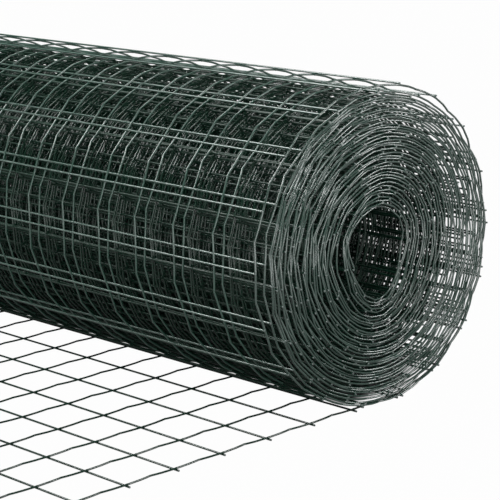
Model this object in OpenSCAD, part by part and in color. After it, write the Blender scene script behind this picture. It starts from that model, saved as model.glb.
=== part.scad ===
// Roll of green plastic-coated welded wire fencing, lying on a level floor.
// The wound turns are one turned body with an open bore. The outermost turn
// runs out under it as a flat sheet of square mesh with crimped line wires, and
// the roll stands on that sheet. Millimetres, +Z up, X along the roll. The
// origin is on the floor, under the middle of the whole.

/* [Mesh] */
// Pitch of the square mesh, from wire centre to wire centre
cell = 76.2; // [72:0.1:80]
// Thickness of a wire over its plastic coat
wire_d = 2.7; // [2.2:0.1:3.2]
// Cells across the width of the fence
cells_wide = 13; // [9:1:16]
// Length of the wire ends that stand out past the outermost crossing wires
stub = 3.4; // [2:0.1:6]
// Depth to which the weld presses crossing wires into each other
weld = 0.4; // [0.2:0.1:0.8]

/* [Crimps] */
// Sideways step of the crimp in the middle of each cell
crimp_step = 3.5; // [2:0.1:5]
// Length of a crimp along its line wire
crimp_run = 50; // [30:1:60]

/* [Roll] */
// Outside diameter of the wound turns
roll_d = 424; // [400:1:460]
// Diameter of the open bore
bore_d = 90; // [80:1:120]
// Turns of mesh on the roll
turns = 37; // [25:1:38]
// Depth to which the gaps between the turns show on the ends
gap_depth = 6; // [2:0.5:12]
// Distance by which the winding has drifted along its axis against the free end
wind_drift = 14; // [6:1:20]

/* [Free end] */
// Cross wires of the unrolled end in front of the line on which the roll stands
free_cross = 10; // [6:1:14]

/* [Hidden] */
$fn = 180;

coat_green = [0.13, 0.24, 0.20];

roll_r = roll_d / 2;
bore_r = bore_d / 2;

// Spread of the line wires, and the length of a cross wire with its stubs
edge_x = cells_wide * cell / 2;
cross_len = 2 * edge_x + wire_d + 2 * stub;

// The wound body ends at the outer faces of the two edge wires
roll_len = 2 * edge_x + wire_d;

// Winding pitch, and the gap that it leaves between the wires of two turns
turn_pitch = (roll_r - bore_r) / turns;
turn_gap = turn_pitch - wire_d;

// A gap opens out at its mouth, as between two round wires
mouth_flare = wire_d / 4;

// The cross wires lie under the line wires. One more lies half a cell behind
// the line on which the roll stands, where the sheet starts to wind up
back_cross = -cell / 2;
last_cross = back_cross + free_cross * cell;
line_start = back_cross - wire_d / 2 - stub;
line_end = last_cross + wire_d / 2 + stub;
line_z = wire_d - weld;

// Middle of the roll: over the line on which it stands on the line wires, with
// the origin midway from the front of the free end to the back of the roll, and
// from the stubs of one at the left to the end of the other at the right
axis_y = (line_end - roll_r) / 2;
axis_z = line_z + wire_d + roll_r;
roll_x = (wind_drift + stub) / 2;
sheet_x = roll_x - wind_drift;

// Half section of the wound body, from bore to outside, with the turns' gaps
module roll_section() {
    difference() {
        translate([bore_r, -roll_len / 2])
            square([roll_r - bore_r, roll_len]);
        for (turn = [1 : turns - 1], end = [-1, 1])
            translate([bore_r + turn * turn_pitch, end * roll_len / 2])
                turn_gap_section(end);
    }
}

// Section of the gap between two turns, open at one end of the roll
module turn_gap_section(end) {
    foot = turn_gap / 2;
    mouth = foot + mouth_flare;
    polygon([
        [-mouth, 0],
        [mouth, 0],
        [foot, -end * wire_d / 2],
        [foot, -end * gap_depth],
        [-foot, -end * gap_depth],
        [-foot, -end * wire_d / 2],
    ]);
}

// The wound turns, one turned body laid along X
module mesh_roll() {
    color(coat_green)
        translate([roll_x, axis_y, axis_z])
            rotate([0, 90, 0])
                rotate_extrude()
                    roll_section();
}

// Points down the middle of a line wire: straight through each weld, with a
// crimp to one side halfway between two cross wires
function line_path() = [
    [0, -line_start],
    for (gap = [0 : free_cross - 1])
        let (mid = -back_cross - (gap + 0.5) * cell)
            each [
                [0, mid + crimp_run / 2],
                [-crimp_step, mid],
                [0, mid - crimp_run / 2],
            ],
    [0, -line_end],
];

// One line wire with its crimps, a square bar of the wire's thickness
module line_wire() {
    path = line_path();
    last = len(path) - 1;
    half = [wire_d / 2, 0];
    linear_extrude(wire_d)
        polygon([
            for (p = path) p - half,
            for (i = [last : -1 : 0]) path[i] + half,
        ]);
}

// One straight cross wire with a stub past each edge wire
module cross_wire() {
    translate([-cross_len / 2, -wire_d / 2, 0])
        cube([cross_len, wire_d, wire_d]);
}

// The flat sheet: line wires side by side on top of the cross wires
module free_end() {
    color(coat_green)
        translate([sheet_x, axis_y, 0]) {
            for (i = [0 : cells_wide])
                translate([i * cell - edge_x, 0, line_z])
                    line_wire();
            for (j = [0 : free_cross])
                translate([0, -back_cross - j * cell, 0])
                    cross_wire();
        }
}

mesh_roll();
free_end();
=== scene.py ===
import math
import bpy
import numpy as np
from mathutils import Matrix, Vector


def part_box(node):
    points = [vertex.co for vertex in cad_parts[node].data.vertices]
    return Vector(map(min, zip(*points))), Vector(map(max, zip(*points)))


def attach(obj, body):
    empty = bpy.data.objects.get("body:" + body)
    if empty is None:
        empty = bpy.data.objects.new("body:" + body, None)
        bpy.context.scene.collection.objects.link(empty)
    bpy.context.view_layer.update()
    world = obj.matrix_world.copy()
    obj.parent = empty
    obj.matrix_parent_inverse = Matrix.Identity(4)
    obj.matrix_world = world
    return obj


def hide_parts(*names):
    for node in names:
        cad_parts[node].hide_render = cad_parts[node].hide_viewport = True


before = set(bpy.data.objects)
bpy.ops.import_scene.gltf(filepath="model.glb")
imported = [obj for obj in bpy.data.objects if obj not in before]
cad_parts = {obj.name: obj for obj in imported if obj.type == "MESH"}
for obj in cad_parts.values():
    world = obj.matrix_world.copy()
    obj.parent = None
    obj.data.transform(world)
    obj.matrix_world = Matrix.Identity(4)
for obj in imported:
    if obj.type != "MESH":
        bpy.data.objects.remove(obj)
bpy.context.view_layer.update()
rollLow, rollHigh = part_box("mesh_roll")
sheetLow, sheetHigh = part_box("free_end")

mm = 0.001
fullTurn = 2 * math.pi

# the fence itself: square mesh of coated wire, cross wires on the outer side of the line wires
fence = {
    "cell": 76.2 * mm,
    "wire": 2.7 * mm,
    "weld": 0.4 * mm,                   # how far crossing wires are pressed together
    "weldCoat": 0.16,                   # share by which a line wire is thicker at a weld
    "lines": 14,
    "crimp": 3.4 * mm,                  # sideways kink halfway between two cross wires
    "crimpShare": (0.9, 0.35),          # its size along the mesh, mean and swing
    "crimpCells": 3.7,                  # cells over which that size comes and goes
    "crimpPower": 2.2,                  # how sharp the kink is
    "stub": (0.2 * mm, 1.3 * mm),       # wire ends past the edge wires of the roll
    "sheetStub": (2.8 * mm, 3.8 * mm),  # and of the free end
    "scatter": 0.012,                   # chance shift of a cross wire, in cells
    "seed": 7,
}
rng = np.random.default_rng(fence["seed"])
cell = fence["cell"]
wireR = fence["wire"] / 2
seat = fence["wire"] - fence["weld"]    # from a line wire's middle out to its cross wire's middle
lineLevel = wireR + seat                # height of a line wire's middle on the floor
rollX = (rollLow.x + rollHigh.x) / 2
axisY = (rollLow.y + rollHigh.y) / 2
axisZ = (rollLow.z + rollHigh.z) / 2
sheetX = (sheetLow.x + sheetHigh.x) / 2
lineShare = np.linspace(0, 1, fence["lines"])       # 0 at the left edge wire, 1 at the right one
lineX = (lineShare - 0.5) * (fence["lines"] - 1) * cell

# how the mesh lies in the roll: radius of a line wire in mm, for eight directions from the bottom
# round by the back, top and front, at some layers from the outside in
winding = {
    "turns": 37,
    "stepsPerTurn": 360,
    "layers": [0.5, 1.5, 2.5, 18.5, 30.5, 31.5, 36.5],
    "radii": [
        [211.5, 222.0, 216.0, 211.5, 206.0, 212.0, 215.5, 212.0],   # loose outermost turn
        [207.5, 207.0, 204.5, 201.0, 197.0, 194.5, 199.5, 204.5],   # next turn, well clear of it in front
        [203.0, 202.5, 200.0, 196.0, 192.0, 189.5, 190.5, 198.5],
        [142.0, 140.5, 138.0, 136.5, 126.5, 121.5, 124.0, 132.5],   # closer at the back than in front
        [96.0, 80.0, 76.0, 79.0, 77.0, 74.0, 80.0, 86.0],           # last turn outside the dark gap
        [90.0, 72.0, 70.0, 73.0, 71.0, 63.0, 63.0, 72.0],           # tight bundle round the bore
        [69.0, 49.0, 45.5, 49.0, 51.0, 53.0, 54.5, 55.0],           # bore
    ],
    "stepTurns": [0, 0.85, 1.2, 1.85, 2.15, 2.5, 37],       # the outer turns step inwards at the bottom
    "stepLayers": [0.5, 0.5, 1.5, 1.5, 2.3, 2.5, 37],
    "liftTurns": 0.12,                  # part of a turn over which the mesh leaves the floor
    "feedTurns": [0.03, 0.69, 1.7, 2.7, 3.7, 4.7],          # mesh that the bends take up, in cells
    "feedCells": [0, 0.325, 0.563, 0.846, 0.871, 1.137],
    "feedChance": 0.5,                  # and past those turns a chance amount, at most this much a turn
    "bunchTurns": [4.7, 3.1, 2.2],      # turns from one tight bunch to the next
    "bunchRounds": [1, 2, 3],           # times that a bunch comes and goes in one turn
    "bunch": [1.2 * mm, 0.8 * mm, 0.3 * mm],
    "bunchSlant": 2.2,                  # most that a bunch turns from one edge to the other, in radians
    "bunchFrom": (2.0, 3.4),            # turns over which the bunching sets in
    "bunchTo": (31, 35),                # and dies away
    "slack": (0.6, 0.4),                # room that a turn has to bunch, mean and swing: most in front
    "wander": 1.6 * mm,                 # sideways drift of a turn
    "wanderTurns": 1.9,                 # turns over which it comes and goes
    "wanderFrom": (1.2, 3),             # turns over which it sets in
    "settles": (0.03, 0.6),             # turns over which the mesh moves from the sheet's place to the roll's
    "litTurns": 1.95,               # outer turns whose wires are painted paler, as lit; the turns inside them are painted darker, as shade
    "dullTurns": 28,                    # turns past which the line wires are dull
    "floorShadeHeight": 50 * mm,                 # height up to which wires are painted darker, as the shade by the floor
    "bendLoose": (-0.08, 0.62),         # share of a turn's bend that is taken at the kinks, mean and swing:
    "bendTight": (0.08, 0.15),          # more in front than at the back, most on the loose outermost turn
    "bendSettles": (0.8, 1.3),          # turns over which loose bends become tight ones
    "bendFades": (70 * mm, 150 * mm),   # radii over which bends at the kinks set in, from the bore out
}

# places of the finishes in a piece's list of materials: coats painted paler as lit (outer turns, edges), coats
# painted darker as shade (the rest), and bare steel
finishOf = {"lit_outer": 0, "shaded": 1, "steel": 2, "dull": 3, "edge": 4}


# smooth step from 0 at low to 1 at high
def easeIn(value, low, high):
    part = np.clip((value - low) / (high - low), 0, 1)
    return part * part * (3 - 2 * part)


# sine waves of unlike length added up, each with its own chance phase, over a number that mostly keeps the sum
# within 1
noiseWaves = np.array([1, 0.62, 1.7, 0.41])
noiseHeight = 2.5


def slowNoise(value, length, phases):
    waves = [np.sin(fullTurn * value / wave + phase) for wave, phase in zip(noiseWaves * length, phases)]
    return sum(waves) / noiseHeight


# closed curve through evenly spaced values, as the sum of their harmonics
def roundCurve(values, angle):
    parts = np.fft.rfft(values) / len(values)
    total = np.full_like(angle, parts[0].real)
    for order in range(1, len(parts)):
        doubled = 1 if order == len(values) / 2 else 2
        total = total + doubled * (parts[order] * np.exp(1j * order * angle)).real
    return total


# radius of the mesh after some turns: the curves of the two nearest layers, mixed by the layer count
def layerRadius(turn):
    marks = np.array(winding["layers"])
    layer = np.interp(turn, winding["stepTurns"], winding["stepLayers"])
    place = np.clip(np.searchsorted(marks, layer) - 1, 0, len(marks) - 2)
    mix = (layer - marks[place]) / (marks[place + 1] - marks[place])
    curves = np.stack([roundCurve(np.array(row) * mm, fullTurn * turn) for row in winding["radii"]])
    pick = np.arange(turn.size)
    return curves[place, pick] * (1 - mix) + curves[place + 1, pick] * mix


# where the wound mesh leaves the floor, and its cells from there for every small step of the turn count
floorReach = cell / 2
floorRadius = axisZ - lineLevel
startTurn = math.atan2(floorReach, floorRadius) / fullTurn
turnSteps = np.linspace(startTurn, winding["turns"], winding["turns"] * winding["stepsPerTurn"])
stepRadius = layerRadius(turnSteps)
liftRadius = math.hypot(floorReach, floorRadius)
lifting = 1 - easeIn(turnSteps, startTurn, startTurn + winding["liftTurns"])
stepRadius += (liftRadius - stepRadius[0]) * lifting
stepY = stepRadius * np.sin(fullTurn * turnSteps)
stepZ = stepRadius * np.cos(fullTurn * turnSteps)
stepRun = np.concatenate([[0], np.cumsum(np.hypot(np.diff(stepY), np.diff(stepZ)))]) / cell
innerTurns = np.arange(math.ceil(winding["feedTurns"][-1]), winding["turns"])
innerFeed = winding["feedCells"][-1] + np.cumsum(rng.uniform(-1, 1, innerTurns.size)) * winding["feedChance"]
stepRun += np.interp(turnSteps, [*winding["feedTurns"], *innerTurns], [*winding["feedCells"], *innerFeed])
woundCells = int(stepRun[-1])
print("wound", round(woundCells * cell, 2), "m in", woundCells, "cells")

bunchPhases = rng.uniform(0, fullTurn, len(winding["bunch"]))
bunchSlant = rng.uniform(-winding["bunchSlant"], winding["bunchSlant"], len(winding["bunch"]))
wanderPhases = rng.uniform(0, fullTurn, noiseWaves.size)
kinkPhases = rng.uniform(0, fullTurn, noiseWaves.size)


# turns that the mesh has made after some cells, read off the small steps
def turnAt(run):
    return np.interp(run, stepRun, turnSteps)


# centre of a line wire on the wound mesh, for cells run (0 at the cross wire under the roll, growing inwards)
# and share across the width: radius from the layers, moved by bunching waves, bent at mid-cell as a polygon
# is (1 / cos, less its mean, so that the turn keeps its size), and set out round the axis by the turn count
def woundPoint(run, share):
    turn = turnAt(run)
    radius = np.interp(turn, turnSteps, stepRadius)
    angle = fullTurn * turn
    front = -np.sin(angle)
    slack = winding["slack"][0] + winding["slack"][1] * front
    inside = easeIn(turn, *winding["bunchFrom"]) * (1 - easeIn(turn, *winding["bunchTo"]))
    for turns, rounds, size, phase, slant in zip(
        winding["bunchTurns"], winding["bunchRounds"], winding["bunch"], bunchPhases, bunchSlant
    ):
        wave = np.sin(fullTurn * turn * (1 / turns + rounds) + phase + slant * share)
        radius = radius + size * slack * inside * wave
    half = cell / radius / 2
    off = (run - np.round(run)) * 2 * half
    loose, tight = (mean + swing * front for mean, swing in (winding["bendLoose"], winding["bendTight"]))
    bend = loose + (tight - loose) * easeIn(turn, *winding["bendSettles"])
    bend = bend * easeIn(radius, *winding["bendFades"])
    radius = radius * (1 + bend * (1 / np.cos(off) - 1 - half * half / 6))
    height = np.maximum(axisZ - radius * np.cos(angle), lineLevel)
    return np.stack([np.zeros_like(radius), axisY + radius * np.sin(angle), height], -1)


# sideways place of a line wire: straight through the welds with a kink to one side at mid-cell, which is
# a power of the distance from the nearest weld
def kinkAside(run):
    off = np.abs(run - np.round(run)) * 2
    mean, swing = fence["crimpShare"]
    size = fence["crimp"] * (mean + swing * slowNoise(run, fence["crimpCells"], kinkPhases))
    return -size * off ** fence["crimpPower"]


# sideways drift of the turns: from the sheet's place to the roll's over half a turn, then to and fro
def driftAside(run):
    turn = turnAt(run)
    settled = easeIn(turn, *winding["settles"])
    sway = slowNoise(turn, winding["wanderTurns"], wanderPhases) * easeIn(turn, *winding["wanderFrom"])
    return sheetX + (rollX - sheetX) * settled + winding["wander"] * sway


# round bar along each path: ring point = centre + radius * (cos a * first + sin a * second), where first is
# the given side made square to the path and second is square to both, with a flat cap at each end.
# It gives the points, the faces round the bars, the caps and the finish of each face
def barMesh(paths, side, radii, sides, finish):
    count, rings = paths.shape[:2]
    along = np.gradient(paths, axis=1)
    along /= np.linalg.norm(along, axis=-1, keepdims=True)
    first = side - (along * side).sum(-1, keepdims=True) * along
    first /= np.linalg.norm(first, axis=-1, keepdims=True)
    second = np.cross(along, first)
    angle = np.arange(sides) / sides * fullTurn
    ring = np.cos(angle)[:, None] * first[:, :, None] + np.sin(angle)[:, None] * second[:, :, None]
    points = paths[:, :, None] + np.broadcast_to(radii, (count, rings))[:, :, None, None] * ring
    index = np.arange(count * rings * sides).reshape(count, rings, sides)
    turned = np.roll(index, -1, axis=2)
    quads = np.stack([index[:, :-1], turned[:, :-1], turned[:, 1:], index[:, 1:]], -1).reshape(-1, 4)
    caps = np.concatenate([index[:, 0, ::-1], index[:, -1]])
    return points.reshape(-1, 3), quads, caps, np.repeat(finish.ravel(), sides)


# line wires from one cell to another: rings are close together at the welds and the kinks, and a tail
# stands out past the first weld. Outer turns and edge wires are painted paler as lit, inner turns and wires
# low by the floor darker as shade, the free end takes the darker coat and the innermost line wires are dull
def lineBars(fromRun, toRun, place, sides, tail=0.0):
    ringPlaces = np.array([0, 0.03, 0.28, 0.42, 0.5, 0.58, 0.72, 0.97])
    run = (np.arange(fromRun, toRun)[:, None] + ringPlaces).ravel()
    run = np.append(run, toRun)
    if tail:
        run = np.insert(run, 0, fromRun - tail / cell)
    atWeld = np.isclose(run, np.round(run), rtol=0, atol=0.001)
    radii = wireR * (1 + fence["weldCoat"] * atWeld)
    paths = np.stack([place(run, share, x) for share, x in zip(lineShare, lineX)])
    begin = run[:-1]
    inner = (lineShare > 0) & (lineShare < 1)
    # painted shade: turns inside the outer ones and wires low by the floor get the darker coat
    dark = (turnAt(begin) > winding["litTurns"]) | (paths[:, :-1, 2] < winding["floorShadeHeight"])
    coat = np.where(dark, finishOf["shaded"], finishOf["lit_outer"])
    # edge wires get the coat painted paler as lit, whatever their turn
    finish = np.where(inner[:, None], coat, finishOf["edge"])
    finish[1:-1, turnAt(begin) > winding["dullTurns"]] = finishOf["dull"]
    finish[:, begin < 0] = finishOf["shaded"]
    widthways = np.array([1.0, 0, 0])
    return barMesh(paths, widthways, radii, sides, finish)


# cross wires from one cell to another: each runs through its welds with the line wires, on their outer side,
# and ends in a stub of chance length past each edge wire
def crossBars(fromRun, toRun, place, out, sides, stub):
    run = np.arange(fromRun, toRun).astype(float)
    shifted = run + rng.uniform(-1, 1, run.size) * fence["scatter"]
    welds = np.stack([place(shifted, share, x) for share, x in zip(lineShare, lineX)], 1)
    welds = welds + out(shifted)[:, None] * seat
    stubs = wireR + rng.uniform(*stub, (2, run.size, 1, 1))
    stubs = stubs * np.array([1.0, 0, 0])
    paths = np.concatenate([welds[:, :1] - stubs[0], welds, welds[:, -1:] + stubs[1]], 1)
    inner = np.arange(len(lineX) + 1) % len(lineX) > 0          # not the two stubs
    # painted shade: cross wires inside the outer turns or low by the floor get the darker, dull coat; their
    # stubs get the edge wires' coat, painted paler as lit
    dark = (turnAt(run) > winding["litTurns"])[:, None] | (paths[:, :-1, 2] < winding["floorShadeHeight"])
    coat = np.where(dark, finishOf["dull"], finishOf["lit_outer"])
    finish = np.where(inner, coat, finishOf["edge"])
    finish[run <= 0] = finishOf["shaded"]
    slanting = np.array([0, 0.6, 0.8])      # square to the wires
    return barMesh(paths, slanting, wireR, sides, finish)


# a wire of the roll: its place round the axis, with its own place, the drift and the kink added sideways
def woundPlace(run, share, x):
    point = woundPoint(run, share)
    point[:, 0] = x + driftAside(run) + kinkAside(run)
    return point


# direction straight out from the roll's axis
def woundOut(run):
    angle = fullTurn * turnAt(run)
    return np.stack([np.zeros_like(angle), np.sin(angle), -np.cos(angle)], -1)


# the free end lies flat: cells run backwards from the cross wire under the roll
def flatPlace(run, share, x):
    sideways = sheetX + x + kinkAside(run)
    lengthways = axisY + floorReach + run * cell
    return np.stack([sideways, lengthways, np.full_like(run, lineLevel)], -1)


# the outer side of the mesh faces the floor there
def flatOut(run):
    return np.tile([0.0, 0, -1.0], (run.size, 1))


# sRGB hex to linear values, by the standard curve
def hexLinear(code):
    part = np.array([int(code[i:i + 2], 16) for i in (1, 3, 5)]) / 255
    return [*np.where(part <= 0.04045, part / 12.92, ((part + 0.055) / 1.055) ** 2.4), 1.0]


# adds a node, sets its properties and inputs, and links what is given as a socket (i0 is input number 0)
def addNode(tree, kind, settings=None, **inputs):
    node = tree.nodes.new(kind)
    for name, value in (settings or {}).items():
        setattr(node, name, value)
    for name, value in inputs.items():
        socket = node.inputs[int(name[1:])] if name[1:].isdigit() else node.inputs[name.replace("_", " ")]
        if isinstance(value, bpy.types.NodeSocket):
            tree.links.new(value, socket)
        else:
            socket.default_value = value
    return node


# empty material with its node tree
def newMaterial(name):
    material = bpy.data.materials.new(name)
    material.use_nodes = True
    material.node_tree.nodes.clear()
    return material, material.node_tree


# PVC coat, extruded over steel wire: dark green and satin, with a pale highlight along the wire. Wires of the
# outer turns are painted paler, as lit, and the edge wires at the roll's ends a little less pale, also as lit:
# both are scuffed paler and have a clear skin. Wires inside the roll and low by the floor are painted darker,
# as
# shade: their line wires keep the gloss of the extruder, their cross wires and the bore's wires are dull
# coat of the outer turns: painted paler, as lit
coatLitOuter = {
    "dark": "#15352a", "light": "#22483b", "scuff": "#788a83", "scuffed": 0.15,
    "roughness": (0.34, 0.42), "gloss": 0.5, "skin": 0.9,
}
# coat of the edge wires at the roll's ends: painted paler than the inside, as lit, and glossier
coatEdgeLit = {
    "dark": "#0d2a20", "light": "#173c30", "scuff": "#788a83", "scuffed": 0.12,
    "roughness": (0.24, 0.32), "gloss": 0.75, "skin": 0.9,
}
# coat of the wires inside the roll and low by the floor: painted darker, as shade
coatShaded = {
    "dark": "#072016", "light": "#0d2f22", "scuff": "#2c4a40", "scuffed": 0.06,
    "roughness": (0.16, 0.22), "gloss": 0.55, "skin": 0.0,
}
# the same darker colours, painted shade, with a rougher and less glossy surface
coatShadedDull = {**coatShaded, "roughness": (0.30, 0.40), "gloss": 0.3}

# what all coats share: sizes of their patches, marks and grain, and how the marks wear the surface
coatSurface = {
    "patch": 60 * mm,
    "mark": 25 * mm,
    "grain": 1.2 * mm,
    "grainDepth": 0.1 * mm,
    "grainStrength": 0.03,
    "rubbedFrom": (0.52, 0.72),         # noise values at which a mark starts and is full
    "satinFrom": (0.3, 0.7),            # and over which the roughness changes
    "ior": 1.53,
    "skinIor": 1.5,
    "skinRoughness": 0.2,
}


# coat of one finish: two greens mixed in patches, scuffed and roughened by marks, with a fine grain
def coatedWire(name, finish):
    material, tree = newMaterial(name)
    place = addNode(tree, "ShaderNodeTexCoord").outputs["Object"]
    patchScale, markScale, grainScale = (1 / coatSurface[size] for size in ("patch", "mark", "grain"))
    patches = addNode(tree, "ShaderNodeTexNoise", None, Vector=place, Scale=patchScale, Detail=3.0)
    tone = addNode(
        tree, "ShaderNodeMix", {"data_type": "RGBA"}, i0=patches.outputs["Fac"],
        i6=hexLinear(finish["dark"]), i7=hexLinear(finish["light"]),
    )
    marks = addNode(tree, "ShaderNodeTexNoise", None, Vector=place, Scale=markScale, Detail=4.0)
    rubbed = addNode(
        tree, "ShaderNodeMapRange", None, Value=marks.outputs["Fac"], From_Min=coatSurface["rubbedFrom"][0],
        From_Max=coatSurface["rubbedFrom"][1], To_Min=0.0, To_Max=finish["scuffed"],
    )
    worn = addNode(
        tree, "ShaderNodeMix", {"data_type": "RGBA"}, i0=rubbed.outputs[0],
        i6=tone.outputs[2], i7=hexLinear(finish["scuff"]),
    )
    satin = addNode(
        tree, "ShaderNodeMapRange", None, Value=marks.outputs["Fac"], From_Min=coatSurface["satinFrom"][0],
        From_Max=coatSurface["satinFrom"][1], To_Min=finish["roughness"][0], To_Max=finish["roughness"][1],
    )
    grain = addNode(tree, "ShaderNodeTexNoise", None, Vector=place, Scale=grainScale, Detail=2.0)
    bumps = addNode(
        tree, "ShaderNodeBump", None, Strength=coatSurface["grainStrength"],
        Distance=coatSurface["grainDepth"], Height=grain.outputs["Fac"],
    )
    shader = addNode(
        tree, "ShaderNodeBsdfPrincipled", None, Base_Color=worn.outputs[2], Roughness=satin.outputs[0],
        IOR=coatSurface["ior"], Specular_IOR_Level=finish["gloss"], Normal=bumps.outputs["Normal"],
        Coat_Weight=finish["skin"], Coat_Roughness=coatSurface["skinRoughness"],
        Coat_IOR=coatSurface["skinIor"],
    )
    addNode(tree, "ShaderNodeOutputMaterial", None, Surface=shader.outputs["BSDF"])
    return material


# galvanised steel core, sheared: bright grey, a little rough from the cut
cutEnd = {"dark": "#4f5a57", "light": "#8b9491", "burr": 0.6 * mm, "metallic": 0.8, "roughness": 0.4}


# cut face: two greys mixed by the fine burr of the shear
def cutSteel(name, finish):
    material, tree = newMaterial(name)
    place = addNode(tree, "ShaderNodeTexCoord").outputs["Object"]
    burr = addNode(tree, "ShaderNodeTexNoise", None, Vector=place, Scale=1 / finish["burr"], Detail=2.0)
    tone = addNode(
        tree, "ShaderNodeMix", {"data_type": "RGBA"}, i0=burr.outputs["Fac"],
        i6=hexLinear(finish["dark"]), i7=hexLinear(finish["light"]),
    )
    shader = addNode(
        tree, "ShaderNodeBsdfPrincipled", None, Base_Color=tone.outputs[2],
        Metallic=finish["metallic"], Roughness=finish["roughness"],
    )
    addNode(tree, "ShaderNodeOutputMaterial", None, Surface=shader.outputs["BSDF"])
    return material


# in the order of finishOf
wireFinish = [
    coatedWire("pvc_coat_lit_outer", coatLitOuter),
    coatedWire("pvc_coat_shaded", coatShaded),
    cutSteel("cut_steel_end", cutEnd),
    coatedWire("pvc_coat_shaded_dull", coatShadedDull),
    coatedWire("pvc_coat_edge_lit", coatEdgeLit),
]
print("finishes", [material.name for material in wireFinish])


# joins bar meshes into one piece: sides smooth in the coat, end caps flat in bare steel
def addPiece(name, bars, node):
    starts = np.cumsum([0] + [len(bar[0]) for bar in bars])
    points = np.concatenate([bar[0] for bar in bars])
    quads = np.concatenate([bar[1] + start for bar, start in zip(bars, starts)])
    loops = [quads.ravel()] + [(bar[2] + start).ravel() for bar, start in zip(bars, starts)]
    sizes = np.concatenate([np.full(len(quads), 4)] + [np.full(len(bar[2]), bar[2].shape[1]) for bar in bars])
    capped = np.arange(sizes.size) >= len(quads)
    finish = np.full(sizes.size, finishOf["steel"])
    finish[~capped] = np.concatenate([bar[3] for bar in bars])
    mesh = bpy.data.meshes.new(name)
    mesh.vertices.add(len(points))
    mesh.vertices.foreach_set("co", points.ravel())
    mesh.loops.add(int(sizes.sum()))
    mesh.loops.foreach_set("vertex_index", np.concatenate(loops))
    mesh.polygons.add(sizes.size)
    mesh.polygons.foreach_set("loop_start", np.cumsum(sizes) - sizes)
    mesh.polygons.foreach_set("material_index", finish.astype(np.int32))
    mesh.polygons.foreach_set("use_smooth", ~capped)
    mesh.update(calc_edges=True)
    for material in wireFinish:
        mesh.materials.append(material)
    piece = bpy.data.objects.new(name, mesh)
    bpy.context.scene.collection.objects.link(piece)
    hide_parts(node)
    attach(piece, "root")
    print(name, "triangles", int((sizes - 2).sum()))


# the free end, from the cross wire under the roll to its front, with round bars of so many sides
freeSides = 8
freeCells = round((axisY + floorReach - sheetLow.y) / cell)
addPiece("free_end_mesh", [
    lineBars(-freeCells, 0, flatPlace, freeSides, wireR + fence["sheetStub"][0]),
    crossBars(-freeCells, 1, flatPlace, flatOut, freeSides, fence["sheetStub"]),
], "free_end")

# wound turns, from the outside in, in pieces of a handy size: the turn up to which each goes, and the sides
# of its bars
woundPieces = {
    "outermost_turns": (1.9, 8),
    "outer_turns": (8, 6),
    "middle_turns": (16, 6),
    "inner_turns": (25, 6),
    "bore_turns": (winding["turns"], 5),
}
cellTurns = turnAt(np.arange(woundCells + 1))
low = 0
for name, (lastTurn, sides) in woundPieces.items():
    high = min(np.searchsorted(cellTurns, lastTurn), woundCells)
    addPiece(name, [
        lineBars(low, high, woundPlace, sides),
        crossBars(low + 1, high + 1, woundPlace, woundOut, sides, fence["stub"]),
    ], "mesh_roll")
    low = high

# level floor of pale paint that is white to the eye and in reflections, apart from the shade that its material
# draws under and behind the roll
floorLook = {
    "paint": "#707070",                 # as it lights the wires
    "paintSeen": "#383838",             # as the eye sees it in the shade
    "white": 0.985,                     # share of plain white on open floor
    "reach": 40.0,                      # metres from the middle to each side
    "mirrorBack": 0.125,                # in reflections the shade is wider: it lies round a rectangle that
    "mirrorHalf": (0.3, 0.075, 0),      # has its middle so far behind the axis, and these half sizes
    "soft": {"open": (-0.05, 1.0), "far": (-0.15, 1.3)},    # values from full shade to open floor
}
# edges of the shade that the eye sees, each a straight ramp over across * x + along * y, in metres from under
# the axis at the wound end: across, along, where the shade is full and where the floor is open
floorEdges = {
    "front": (0, 1, -0.018, -0.034),    # in front of the line on which the roll stands
    "rightEnd": (1, 0, -0.06, -0.03),   # short of the wound end
    "leftSight": (0.9, 1, -0.8, -1.0),  # left of the roll, along the line of sight
    "under": (0, 1, 0.16, 0.24),        # under the roll, to its back
    "underEnd": (1.55, 1, -0.02, 0.03), # and on a slant to the wound end
    "behind": (0, 1, 0.55, 1.05),       # behind the roll, where it fades out
    "rightSight": (0.9, 1, 0.03, 0.08), # right of that, along the line of sight
}
# how edges and kinds of ray join: name of the result, operation, and the two values that it joins
floorJoins = [
    ("sides", "MAXIMUM", "front", "rightEnd"),
    ("sides", "MAXIMUM", "sides", "leftSight"),
    ("under", "MAXIMUM", "under", "underEnd"),
    ("behind", "MAXIMUM", "behind", "rightSight"),
    ("middle", "MINIMUM", "under", "behind"),
    ("open", "MAXIMUM", "sides", "middle"),
    ("far", "MAXIMUM", "awayX", "awayY"),
    ("eye", "MAXIMUM", "camera", "transmission"),
    ("eye", "MULTIPLY", "eye", "open"),
    ("mirror", "MULTIPLY", "glossy", "far"),
    ("share", "MAXIMUM", "eye", "mirror"),
]


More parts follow.
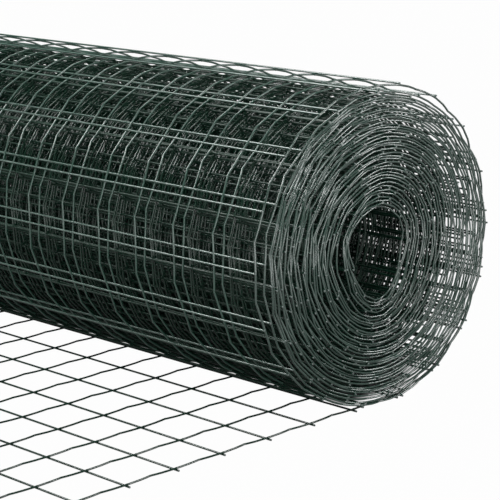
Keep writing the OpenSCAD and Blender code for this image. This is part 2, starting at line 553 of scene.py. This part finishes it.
# the floor mixes plain white with paint by the share that the joins give
def studioFloor():
    material, tree = newMaterial("studio_floor")
    place = addNode(tree, "ShaderNodeTexCoord").outputs["Object"]
    ray = addNode(tree, "ShaderNodeLightPath").outputs
    value = {kind.lower(): ray[f"Is {kind} Ray"] for kind in ("Camera", "Transmission", "Glossy")}
    wound = (rollHigh.x, axisY, 0)
    fromEnd = addNode(tree, "ShaderNodeVectorMath", {"operation": "SUBTRACT"}, i0=place, i1=wound).outputs[0]
    for name, (across, along, shade, clear) in floorEdges.items():
        measure = addNode(
            tree, "ShaderNodeVectorMath", {"operation": "DOT_PRODUCT"}, i0=fromEnd, i1=(across, along, 0),
        )
        edge = addNode(
            tree, "ShaderNodeMapRange", None, Value=measure.outputs["Value"], From_Min=shade, From_Max=clear,
        )
        value[name] = edge.outputs[0]
    middle = (rollX, axisY + floorLook["mirrorBack"], 0)
    off = addNode(tree, "ShaderNodeVectorMath", {"operation": "SUBTRACT"}, i0=place, i1=middle)
    off = addNode(tree, "ShaderNodeVectorMath", {"operation": "ABSOLUTE"}, i0=off.outputs[0])
    half = floorLook["mirrorHalf"]
    off = addNode(tree, "ShaderNodeVectorMath", {"operation": "SUBTRACT"}, i0=off.outputs[0], i1=half)
    away = addNode(tree, "ShaderNodeSeparateXYZ", None, Vector=off.outputs[0])
    value["awayX"] = away.outputs["X"]
    value["awayY"] = away.outputs["Y"]
    for name, operation, first, second in floorJoins:
        join = addNode(tree, "ShaderNodeMath", {"operation": operation}, i0=value[first], i1=value[second])
        value[name] = join.outputs[0]
        if name in floorLook["soft"]:
            shade, clear = floorLook["soft"][name]
            soft = addNode(
                tree, "ShaderNodeMapRange", {"interpolation_type": "SMOOTHSTEP"}, Value=value[name],
                From_Min=shade, From_Max=clear, To_Max=floorLook["white"],
            )
            value[name] = soft.outputs[0]
    tone = addNode(
        tree, "ShaderNodeMix", {"data_type": "RGBA"}, i0=value["camera"],
        i6=hexLinear(floorLook["paint"]), i7=hexLinear(floorLook["paintSeen"]),
    )
    paint = addNode(tree, "ShaderNodeBsdfDiffuse", None, Color=tone.outputs[2])
    glow = addNode(tree, "ShaderNodeEmission", None, Strength=1.0)
    mixed = addNode(
        tree, "ShaderNodeMixShader", None, i0=value["share"], i1=paint.outputs[0], i2=glow.outputs[0],
    )
    addNode(tree, "ShaderNodeOutputMaterial", None, Surface=mixed.outputs[0])
    mesh = bpy.data.meshes.new("studio_floor")
    reach = floorLook["reach"]
    corners = [(-reach, -reach, 0), (reach, -reach, 0), (reach, reach, 0), (-reach, reach, 0)]
    mesh.from_pydata(corners, [], [(0, 1, 2, 3)])
    mesh.materials.append(material)
    floor = bpy.data.objects.new("studio_floor", mesh)
    bpy.context.scene.collection.objects.link(floor)


studioFloor()
print("floor laid")

# plain grey surroundings at a low level
worldLevel = 0.08
world = bpy.data.worlds.new("studio")
bpy.context.scene.world = world
world.use_nodes = True
world.node_tree.nodes.clear()
sky = addNode(world.node_tree, "ShaderNodeBackground", None, Color=(1, 1, 1, 1), Strength=worldLevel)
addNode(world.node_tree, "ShaderNodeOutputWorld", None, Surface=sky.outputs[0])

# six soft lamps round a point on the axis: at the upper left for the cross wires, overhead and at the upper
# right for the top, and in front, low on the right and at the right back for the wound end
lampAim = np.array([0.2, axisY, axisZ])
lampDistance = 2.4
lamps = [
    {"name": "top_left", "toward": (-0.55, -0.48, 0.68), "size": (0.8, 0.9), "watts": 58},
    {"name": "overhead", "toward": (-0.40, 0.12, 0.91), "size": (1.0, 0.4), "watts": 30},
    {"name": "top_right", "toward": (0.55, -0.34, 0.76), "size": (0.7, 0.6), "watts": 24},
    {"name": "front", "toward": (0.50, -0.84, 0.16), "size": (1.8, 1.4), "watts": 14},
    {"name": "low_right", "toward": (0.97, -0.24, 0.0), "size": (1.6, 0.38), "watts": 12},
    {"name": "right_back", "toward": (0.74, 0.60, 0.30), "size": (0.7, 0.6), "watts": 24},
]
for lamp in lamps:
    light = bpy.data.lights.new(lamp["name"], "AREA")
    light.shape = "RECTANGLE"
    light.size, light.size_y = lamp["size"]
    light.energy = lamp["watts"]
    holder = bpy.data.objects.new(lamp["name"], light)
    away = np.array(lamp["toward"])
    away /= np.linalg.norm(away)
    sideways = np.cross([0, 0, 1.0], away)
    sideways /= np.linalg.norm(sideways)
    turnTo = np.stack([sideways, np.cross(away, sideways), away], 1)
    spot = lampAim + away * lampDistance
    holder.matrix_world = Matrix.Translation(spot) @ Matrix(turnTo.tolist()).to_4x4()
    bpy.context.scene.collection.objects.link(holder)

# camera fitted to the mesh on the floor: its place in cells from the free end's crossing in front of the roll
# on the right-hand edge wire, its turns in degrees
camera = {
    "across": 23.868, "along": -23.812, "height": 10.943, "yaw": 47.91, "pitch": 13.48, "roll": -2.18,
    "focalPixels": 2068.1, "framePixels": 500, "sensor": 36,
}
yaw, pitch, roll = (math.radians(camera[k]) for k in ("yaw", "pitch", "roll"))
forward = np.array([-math.sin(yaw) * math.cos(pitch), math.cos(yaw) * math.cos(pitch), -math.sin(pitch)])
level = np.array([math.cos(yaw), math.sin(yaw), 0])
upright = np.cross(level, forward)
right = level * math.cos(roll) + upright * math.sin(roll)
up = upright * math.cos(roll) - level * math.sin(roll)
lens = bpy.data.cameras.new("camera")
lens.sensor_width = camera["sensor"]
lens.lens = lens.sensor_width * camera["focalPixels"] / camera["framePixels"]
eye = bpy.data.objects.new("camera", lens)
eye.matrix_world = Matrix(np.stack([right, up, -forward], 1).tolist()).to_4x4()
eye.location = (
    sheetX + lineX[-1] + camera["across"] * cell,
    axisY - floorReach + camera["along"] * cell,
    lineLevel - seat / 2 + camera["height"] * cell,
)
bpy.context.scene.collection.objects.link(eye)
bpy.context.scene.camera = eye
bpy.context.scene.view_settings.view_transform = "Standard"
print("camera and light set")
